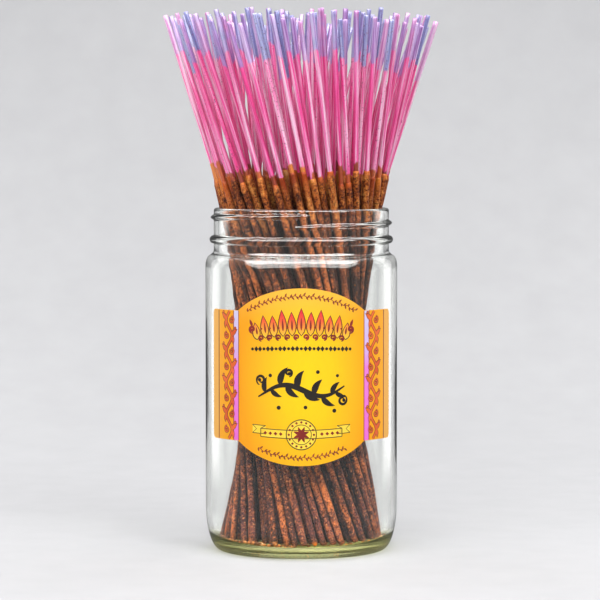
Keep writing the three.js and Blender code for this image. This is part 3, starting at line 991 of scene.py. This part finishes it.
class Ink:
    """Flat printed shapes of one ink, wrapped on the label. A higher layer lies over a lower one."""

    def __init__(self, name, layer, finish):
        self.name = name
        self.finish = finish
        self.inside = PAPER_OUTSIDE - 0.02
        self.outside = PAPER_OUTSIDE + (layer + 1) * INK_LAYER
        self.points = []
        self.faces = []

    def strip(self, left, right):
        """A shape between two rails of points, each a distance along the paper and a height."""
        edge = np.array(list(left) + list(right)[::-1])
        turned = np.roll(edge, -1, axis=0)
        area = (edge[:, 0] * turned[:, 1] - edge[:, 1] * turned[:, 0]).sum()
        if area > 0:
            left, right = right, left
        self.faces += ring_faces(len(left), 4, len(self.points))
        for one, other in zip(left, right):
            self.points += [
                on_label(*one, self.inside),
                on_label(*one, self.outside),
                on_label(*other, self.outside),
                on_label(*other, self.inside),
            ]

    def stroke(self, path, widths):
        """A line along a path. widths is one width, or one for each point."""
        path = np.array(path, dtype=float)
        widths = np.broadcast_to(widths, len(path))
        way = np.gradient(path, axis=0)
        way /= np.hypot(way[:, 0], way[:, 1])[:, None] + TINY
        beside = np.stack([way[:, 1], -way[:, 0]], axis=1) * widths[:, None] / 2
        self.strip((path - beside).tolist(), (path + beside).tolist())

    def spot(self, centre, reach, steps=12):
        turns = np.linspace(math.pi - 0.12, 0.12, steps)
        upper, lower = ([around(centre, reach, way * turn) for turn in turns] for way in (1, -1))
        self.strip(upper, lower)

    def lozenge(self, centre, reach, tall):
        x, z = centre
        self.strip([(x - reach, z + 0.02), (x, z + tall), (x + reach, z + 0.02)],
                   [(x - reach, z - 0.02), (x, z - tall), (x + reach, z - 0.02)])

    def ring(self, centre, radius, width, steps=40):
        self.stroke([around(centre, radius, turn) for turn in np.linspace(0, 2 * math.pi, steps + 1)], width)

    def leaf(self, foot, angle_deg, length, breadth, bend=0.0, steps=9):
        """A pointed leaf from its foot, that swells and bends as it goes."""
        path, widths = [], []
        for share in np.arange(steps) / (steps - 1):
            path.append(around(foot, length * share, math.radians(angle_deg + bend * share)))
            widths.append(0.06 + breadth * math.sin(math.pi * share ** 0.75) ** 0.9)
        self.stroke(path, widths)

    def curl(self, centre, start_deg, turns, outer, inner, width, steps=26):
        """A spiral line that winds inward and thickens to a knob."""
        path, widths = [], []
        for share in np.arange(steps) / (steps - 1):
            angle = math.radians(start_deg + 360 * turns * share)
            path.append(around(centre, outer + (inner - outer) * share, angle))
            widths.append(width * (0.45 + 0.75 * math.sin(math.pi * min(1, share * 1.15))))
        self.stroke(path, widths)
        self.spot(path[-1], width * 0.8)

    def piece(self):
        make_piece(self.name, self.points, self.faces, [self.finish], "paper_label",
                   smooth=False)


def printed(ink, colour, specular=0.5):
    """A satin film of a printed colour, with a very fine grain."""
    grain = ink.noise(ink.place(), 1400.0, 1.0)
    return ink.opaque(colour, INK_ROUGHNESS + grain * 0.14, ink.bump(grain, 0.02, 0.4), specular)


def ink_finish(name, colour, second):
    """A printed ink whose tone wanders a little between two colours."""
    ink = Finish(name)
    wander = ink.noise(ink.place(), 60.0)
    return printed(ink, ink.mix(ink.step(wander, 0.35, 0.65), colour, second), 0.4)


def height_finish(name, *stops):
    """A printed ink that changes with height on the label. Each stop is a height and a screen colour."""
    ink = Finish(name)
    low, high = stops[0][0], stops[-1][0]
    share = (ink.axes(ink.place())[2] / MM - low) / (high - low)
    return printed(ink, ink.ramp(share, *[((height - low) / (high - low), *tone) for height, *tone in stops]))


def column(ink, low_s, high_s, half, rows=18):
    """An upright field between two distances along the paper."""
    heights = [LABEL_CENTRE_HEIGHT - half + 2 * half * row / rows for row in range(rows + 1)]
    ink.strip([(low_s, z) for z in heights], [(high_s, z) for z in heights])


def side_bands(brown, stripe, red):
    """On each side: a stripe, a band of a winding stem with leaves, and a rule."""
    half = BAND_HALF_HEIGHT - 0.15
    for side in (-1, 1):
        for ink, inner, outer in (
            (stripe, STRIPE_INNER, STRIPE_OUTER),
            (brown, STRIPE_INNER - 0.45, STRIPE_INNER - 0.05),
            (brown, STRIPE_OUTER + 0.1, STRIPE_OUTER + 0.5),
            (brown, RULE_PLACE, RULE_PLACE + 0.7),
        ):
            column(ink, *sorted((side * inner, side * outer)), half)
        winding_stem(brown, red, side, half)


def winding_stem(brown, red, side, half):
    """A winding stem with leaves, a bud and a curl at each bend. Red lies on a little more brown."""
    middle = side * (BAND_INNER + BAND_OUTER - 2.2) / 2
    path = []
    for z in np.linspace(-half + 0.4, half - 0.4, 150):
        path.append((middle + STEM_SWAY * math.sin(2 * math.pi * z / STEM_PERIOD), LABEL_CENTRE_HEIGHT + z))
    last = math.floor(2 * half / STEM_PERIOD)
    for ink, stem, border, line, bud in ((brown, 1.75, 0.5, 1.2, 0.75), (red, 1.0, 0, 0.55, 0.42)):
        ink.stroke(path, stem)
        for bend in range(-last, last + 1):
            z = (bend + 0.5) * STEM_PERIOD / 2
            if abs(z) > half - 4:
                continue
            out = 1 if math.sin(2 * math.pi * z / STEM_PERIOD) > 0 else -1
            knee = (middle + STEM_SWAY * out, LABEL_CENTRE_HEIGHT + z)
            for tilt, length, breadth in ((62, 4.6, 1.9), (-58, 3.8, 1.6)):
                angle = tilt if out > 0 else 180 - tilt
                ink.leaf(knee, angle, length + border, breadth + border * 1.6, -20 * out)
            ink.curl((middle - out * 1.7, knee[1] + 0.3), 90, out * 1.1, 1.8, 0.7, line)
            ink.spot((middle + out * 4.2, knee[1] + 3.9), bud)


def garland(dark, fill, brown):
    """A row of upright petals that are tallest in its middle, on a scrolled foot."""
    for number in range(-PETALS_EACH_SIDE, PETALS_EACH_SIDE + 1):
        share = number / PETALS_EACH_SIDE
        foot = (number * PETAL_SPACING, GARLAND_FOOT + 2.2 * (1 - share ** 2) - 1.2)
        tall = PETAL_HEIGHT - PETAL_FALL * share ** 2 - (ODD_PETAL_SHORTER if number % 2 else 0)
        angle = 90 - 9 * share
        dark.leaf((foot[0], foot[1] - 0.5), angle, tall + 1.1, PETAL_BREADTH + 1.0)
        fill.leaf(foot, angle, tall, PETAL_BREADTH)
        brown.leaf((foot[0], foot[1] + 2.2), angle, tall * 0.5, 0.9)
    for number in range(-PETALS_EACH_SIDE, PETALS_EACH_SIDE):
        place = number + 0.5
        share = place / PETALS_EACH_SIDE
        centre = (place * PETAL_SPACING, GARLAND_FOOT + 1.0 * (1 - share ** 2) - 0.9)
        turns = 1.1 if place > 0 else -1.1
        brown.curl(centre, 270, turns, 1.5, 0.5, 0.8)
        brown.spot((centre[0], centre[1] + 4.6), 0.5)
    for side in (-1, 1):
        place = side * (PETALS_EACH_SIDE + 0.62) * PETAL_SPACING
        brown.curl((place, GARLAND_FOOT + 3.4), 250 if side > 0 else 290, side * 1.2, 1.9, 0.5, 1.0)
        brown.leaf((place, GARLAND_FOOT + 5.0), 90 - side * 24, 3.6, 1.4)


def lozenge_row(dark):
    for number in range(-LOZENGES_EACH_SIDE, LOZENGES_EACH_SIDE + 1):
        s = number * LOZENGE_SPACING
        z = LOZENGE_ROW + 0.6 * math.cos(s / 25 * math.pi / 2)
        if number % 3 == 0:
            dark.spot((s, z), 0.75)
        else:
            dark.lozenge((s, z), 1.05, 1.35)


def brush_sprig(dark):
    """A bold sprig as if drawn with a loaded brush: one sweeping stem, with leaves, curls and berries."""
    stem, widths = [], []
    for step in range(SPRIG_STEPS + 1):
        share = step / SPRIG_STEPS
        wave = 3.4 * math.sin(share * 2 * math.pi * 1.1 - 0.5)
        stem.append((SPRIG_REACH * (2 * share - 1), SPRIG_MIDDLE + wave - 1.6 + 3.2 * share))
        widths.append(0.7 + 2.0 * math.sin(math.pi * share) ** 1.1)
    dark.stroke(stem, widths)
    for share, angle, length, breadth, bend in (
        (0.10, 118, 7.5, 2.6, -34), (0.16, -64, 6.5, 2.4, 30), (0.27, 104, 9.5, 3.2, -36),
        (0.34, -78, 8.4, 3.0, 34), (0.46, 112, 9.0, 3.4, -40), (0.54, -60, 8.8, 3.2, 30),
        (0.65, 96, 8.4, 3.1, -34), (0.73, -72, 8.0, 2.8, 36), (0.84, 84, 7.0, 2.5, -30),
        (0.90, -48, 6.2, 2.2, 26),
    ):
        dark.leaf(stem[round(share * SPRIG_STEPS)], angle, length, breadth, bend)
    for s, z, start, turns, outer in (
        (-20.0, 88.5, 250, -1.2, 2.6), (20.4, 78.6, 70, -1.2, 2.6), (-6.2, 92.2, 280, 1.1, 2.0),
    ):
        dark.curl((s, z), start, turns, outer, outer * 0.3, 1.1)
    for s, z, size in (
        (-15.2, 90.8, 0.9), (-11.0, 75.2, 1.0), (2.0, 75.4, 0.9), (8.0, 92.6, 0.9), (16.2, 73.6, 1.0),
        (17.8, 90.6, 0.8),
    ):
        dark.spot((s, z), size)


def ribbon_sag(s):
    return RIBBON_MIDDLE - 0.7 * math.cos(s / RIBBON_REACH * math.pi / 2) + 0.2


def ribbon_edges(places, rise):
    middles = [(s, ribbon_sag(s) + rise) for s in places]
    return [[(s, z + out) for s, z in middles] for out in (RIBBON_HALF, -RIBBON_HALF)]


def ribbon(olive, cloth, maroon):
    """A drawn ribbon whose ends fold back behind it."""
    fold = RIBBON_REACH - RIBBON_FOLD
    tip = RIBBON_REACH + RIBBON_TAIL
    for side in (-1, 1):
        upper, lower = ribbon_edges([side * s for s in np.linspace(fold, tip, 9)], 1.5)
        notch = (side * (tip - 2.2), (upper[-1][1] + lower[-1][1]) / 2)
        cloth.strip(upper, lower)
        corner = (side * RIBBON_REACH, ribbon_sag(RIBBON_REACH) + RIBBON_HALF)
        for line in (upper, lower, [upper[-1], notch, lower[-1]], [upper[0], corner]):
            olive.stroke(line, 0.35)
    upper, lower = ribbon_edges(np.linspace(-RIBBON_REACH, RIBBON_REACH, 46), 0)
    cloth.strip(upper, lower)
    for line in (upper, lower, [upper[0], lower[0]], [upper[-1], lower[-1]]):
        olive.stroke(line, 0.4)
    for side in (-1, 1):
        for number in range(4):
            s = side * (10 + number * 2.6)
            maroon.lozenge((s, ribbon_sag(s)), 0.9, 0.9)


def seal(olive, cloth, maroon):
    """A round seal with a ring of beads and a plain rosette."""
    centre = (0, RIBBON_MIDDLE - 0.6)
    cloth.spot(centre, SEAL_RADIUS, steps=30)
    olive.ring(centre, SEAL_RADIUS, 0.5)
    olive.ring(centre, SEAL_RADIUS * 0.66, 0.35)
    for bead in range(SEAL_BEADS):
        maroon.spot(around(centre, SEAL_RADIUS * 0.83, 2 * math.pi * bead / SEAL_BEADS), 0.55)
    for petal in range(8):
        maroon.leaf(centre, petal * 45 + 22.5, SEAL_RADIUS * 0.56, 1.5)
    olive.spot(centre, 1.0)


def edge_vine(brown):
    """A thin winding vine with small leaves that follows each bowed edge of the field."""
    for side, reach in ((1, UPPER_VINE_REACH), (-1, LOWER_VINE_REACH)):
        path = []
        for s in np.linspace(-reach, reach, 130):
            wave = 0.35 * math.sin(2 * math.pi * s / VINE_PERIOD)
            path.append((s, LABEL_CENTRE_HEIGHT + side * (label_half_height(s) - VINE_INSET) + wave))
        brown.stroke(path, 0.34)
        count = round(reach / VINE_PERIOD * 4)
        for number in range(-count, count + 1):
            foot = path[round((number / count + 1) / 2 * (len(path) - 1))]
            slope = -math.degrees(math.asin(foot[0] / FIELD_ARC_RADIUS)) * side
            lean = 58 if number % 2 else -58
            brown.leaf(foot, lean + slope, 1.9 if number % 3 else 1.4, 0.8)


def printed_shapes():
    brown = Ink("brown_print", 0, ink_finish("brown ink", (130, 50, 24), (156, 66, 28)))
    stripe = Ink("side_stripes", 0, height_finish(
        "lavender to pink ink",
        (57, 238, 108, 212), (94, 236, 128, 218), (102, 216, 176, 232), (123, 212, 208, 240)))
    red = Ink("red_leaves", 1, ink_finish("orange-red ink", (216, 84, 30), (236, 110, 44)))
    edging = Ink("petal_edges", 0, ink_finish("dark outline ink", (70, 38, 20), (86, 46, 22)))
    fill = Ink("petal_fills", 1, height_finish(
        "sunset ink", (107, 236, 206, 44), (112.5, 250, 168, 40), (117, 238, 92, 44), (121.5, 226, 38, 52)))
    scroll = Ink("garland_scrolls", 2, ink_finish("red-brown ink", (150, 40, 34), (128, 34, 28)))
    dark = Ink("black_print", 1, ink_finish("black ink", (26, 20, 18), (38, 30, 24)))
    cloth = Ink("ribbon_ground", 0, ink_finish("pale yellow ink", (254, 222, 70), (253, 212, 60)))
    olive = Ink("ribbon_lines", 1, ink_finish("olive ink", (74, 62, 24), (92, 76, 30)))
    maroon = Ink("maroon_marks", 2, ink_finish("maroon ink", (116, 26, 22), (136, 36, 26)))
    side_bands(brown, stripe, red)
    garland(edging, fill, scroll)
    lozenge_row(dark)
    brush_sprig(dark)
    ribbon(olive, cloth, maroon)
    seal(olive, cloth, maroon)
    edge_vine(brown)
    for ink in (brown, stripe, red, edging, fill, scroll, dark, cloth, olive, maroon):
        ink.piece()


# Studio

FLOOR_FRONT = -1600
FLOOR_BACK = 300
COVE_RADIUS = 500
WALL_TOP = 1900
BACKDROP_HALF_WIDTH = 2000
ROOM_LIGHT = 0.16
ROOM_LOOK = 0.62
LIGHTS_AIM = (0, 0, 140)
SIDE_SOFTBOX = (560, 470, 220)
RIM_PANEL = (198, 96, 160)
OVERHEAD_PANEL = (0, -440, 900)


def aim(thing, place, target):
    """Puts a lamp, a panel or the camera at a place and turns it towards a target."""
    thing.location = Vector(place) * MM
    thing.rotation_euler = (Vector(target) - Vector(place)).to_track_quat("-Z", "Y").to_euler()


def softbox(name, place, size, watts, in_gloss=False):
    data = bpy.data.lights.new(name, "AREA")
    data.shape = "RECTANGLE"
    data.size = size[0] * MM
    data.size_y = size[1] * MM
    data.energy = watts
    light = new_object(name, data)
    light.visible_glossy = in_gloss
    aim(light, place, LIGHTS_AIM)
    return light


def stage_sheet(name, points, faces, material):
    """A bare surface of the studio."""
    mesh = bpy.data.meshes.new(name)
    mesh.from_pydata((np.array(points) * MM).tolist(), [], faces)
    mesh.polygons.foreach_set("use_smooth", [True] * len(faces))
    mesh.materials.append(material)
    sheet = new_object(name, mesh)
    return sheet


def pale_room():
    """A room that is pale to look at, directly or through glass, and lights the jar only a little."""
    room = Finish("pale room", bpy.data.worlds)
    seen = room.maths("MAXIMUM", room.ray("Is Camera Ray"), room.ray("Is Transmission Ray"))
    brightness = room.node("ShaderNodeMapRange", {0: seen, "To Min": ROOM_LIGHT, "To Max": ROOM_LOOK})
    sky = room.node("ShaderNodeBackground", {"Color": (1, 1, 1, 1), "Strength": brightness})
    room.node("ShaderNodeOutputWorld", {"Surface": sky})
    return room.owner


def studio():
    """A pale floor that runs up into a pale wall, with soft lights on both sides, above and in front."""
    rows = [(FLOOR_FRONT, 0), (FLOOR_BACK, 0)]
    rows += arc((FLOOR_BACK, COVE_RADIUS), (COVE_RADIUS, COVE_RADIUS), -90, 0, 12)
    rows.append((FLOOR_BACK + COVE_RADIUS, WALL_TOP))
    points = [(side * BACKDROP_HALF_WIDTH, y, z) for y, z in rows for side in (-1, 1)]
    faces = [(2 * k, 2 * k + 1, 2 * k + 3, 2 * k + 2) for k in range(len(rows) - 1)]
    backdrop = stage_sheet("backdrop", points, faces, backdrop_finish())
    backdrop.visible_glossy = False
    bpy.context.scene.world = pale_room()

    for side in (-1, 1):
        x, y, z = SIDE_SOFTBOX
        beside = softbox("side softbox %+d" % side, (side * x, y, z), (470, 900), 3.6)
        beside.visible_transmission = False
        x, y, z = RIM_PANEL
        glowing_panel("rim panel %+d" % side, (side * x, y, z), (0, 0, z), (112, 320), 0.45, 1.9)
    glowing_panel("overhead panel", OVERHEAD_PANEL, (0, -40, 150), (2800, 980), 0.8, 12)
    softbox("overhead softbox", (0, -150, 1200), (2400, 2000), 30, in_gloss=True)
    softbox("front softbox", (-340, -1000, 950), (600, 400), 7)
    softbox("key lamp", (520, -760, 1000), (240, 240), 5)


def glowing_panel(name, place, target, size, fade_start, strength):
    """A panel that fades out towards its edges. It shows in gloss and glass, and lights nothing."""
    wide, high = size[0] / 2, size[1] / 2
    light = Finish(name)
    x, y, _ = light.axes(light.place())
    across = light.maths("ABSOLUTE", x / (wide * MM))
    along = light.maths("ABSOLUTE", y / (high * MM))
    fade = (1 - light.step(across, fade_start, 1.0)) * (1 - light.step(along, 0.8, 1.0))
    glow = light.node("ShaderNodeEmission", {"Color": (1, 1, 1, 1), "Strength": strength})
    material = light.done(light.blend(fade, light.clear(), glow))
    corners = [(-wide, -high, 0), (wide, -high, 0), (wide, high, 0), (-wide, high, 0)]
    panel = stage_sheet(name, corners, [(0, 3, 2, 1)], material)
    aim(panel, place, target)
    panel.visible_camera = False
    panel.visible_diffuse = False
    panel.visible_shadow = False


def backdrop_finish():
    """Plain pale paper, which is clear from behind, so that the jar can be seen from there too."""
    pale = Finish("pale studio paper")
    colour = pale.mix(pale.noise(pale.place(), 40.0), (158, 158, 160), (166, 166, 168))
    paper = pale.shader({"Base Color": colour, "Roughness": 0.9})
    behind = pale.node("ShaderNodeNewGeometry", out="Backfacing")
    return pale.done(pale.blend(behind, paper, pale.clear()))


def camera():
    data = bpy.data.cameras.new("camera")
    data.sensor_width = SENSOR_WIDTH
    away = math.hypot(CAMERA_DISTANCE, CAMERA_HEIGHT - AIM_HEIGHT)
    data.lens = SENSOR_WIDTH * away / FRAME_WIDTH
    eye = new_object("camera", data)
    aim(eye, (CAMERA_SIDE, -CAMERA_DISTANCE, CAMERA_HEIGHT), (CAMERA_SIDE, 0, AIM_HEIGHT))
    scene = bpy.context.scene
    scene.camera = eye
    scene.view_settings.view_transform = "Standard"
    scene.cycles.transmission_bounces = 16
    scene.cycles.transparent_max_bounces = 24


def main():
    sticks = lay_out_sticks()
    glass_jar()
    paper_label()
    printed_shapes()
    add_coats(sticks)
    add_ends(sticks)
    add_crumbs()
    studio()
    camera()


main()
